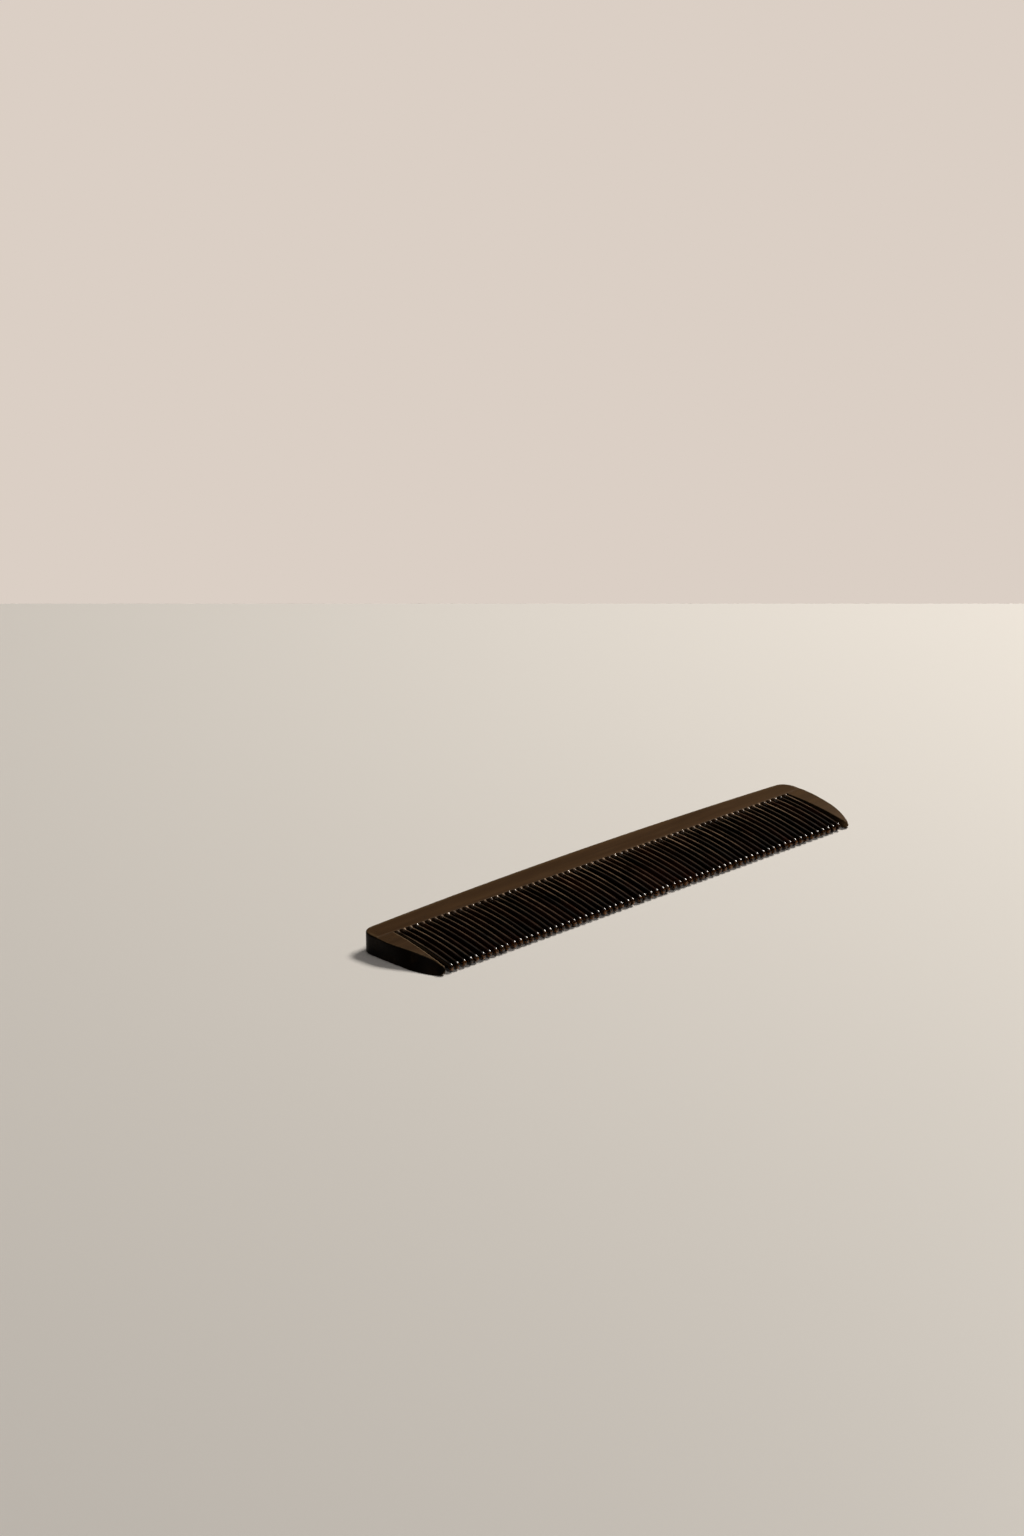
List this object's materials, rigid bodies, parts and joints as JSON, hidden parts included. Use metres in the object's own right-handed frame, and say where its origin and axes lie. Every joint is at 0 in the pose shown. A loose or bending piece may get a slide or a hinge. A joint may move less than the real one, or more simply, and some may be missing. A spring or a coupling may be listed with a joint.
{
  "type": "beard comb",
  "caption": "Flat inserted-tooth beard comb: a straight back bar with a groove, an end guard at each end and one row of evenly pitched teeth.",
  "frame": {"origin": "middle of the comb's footprint, on the flat underside that it rests on", "axes": "+X along the comb's length, teeth pointing along -Y, +Z through the thickness, away from the face it rests on"},
  "size_m": [0.189, 0.0344, 0.0069],
  "materials": {
    "back_wood": "satin, fine straight grain",
    "guard_wood": "satin, fine straight grain",
    "tooth_horn": "polished horn, amber at the tips"
  },
  "bodies": {
    "root": {"spine": "back_wood", "end_guard_left": "guard_wood", "end_guard_right": "guard_wood", "tooth_pair_01": "tooth_horn", "tooth_pair_02": "tooth_horn", "tooth_pair_03": "tooth_horn", "tooth_pair_04": "tooth_horn", "tooth_pair_05": "tooth_horn", "tooth_pair_06": "tooth_horn", "tooth_pair_07": "tooth_horn", "tooth_pair_08": "tooth_horn", "tooth_pair_09": "tooth_horn", "tooth_pair_10": "tooth_horn", "tooth_pair_11": "tooth_horn", "tooth_pair_12": "tooth_horn", "tooth_pair_13": "tooth_horn", "tooth_pair_14": "tooth_horn", "tooth_pair_15": "tooth_horn", "tooth_pair_16": "tooth_horn", "tooth_pair_17": "tooth_horn", "tooth_pair_18": "tooth_horn", "tooth_pair_19": "tooth_horn", "tooth_pair_20": "tooth_horn", "tooth_pair_21": "tooth_horn", "tooth_pair_22": "tooth_horn", "tooth_pair_23": "tooth_horn", "tooth_pair_24": "tooth_horn", "tooth_pair_25": "tooth_horn", "tooth_pair_26": "tooth_horn", "tooth_pair_27": "tooth_horn", "tooth_pair_28": "tooth_horn", "tooth_pair_29": "tooth_horn", "tooth_pair_30": "tooth_horn", "tooth_pair_31": "tooth_horn", "tooth_pair_32": "tooth_horn", "tooth_pair_33": "tooth_horn", "tooth_pair_34": "tooth_horn"}
  },
  "joints": []
}
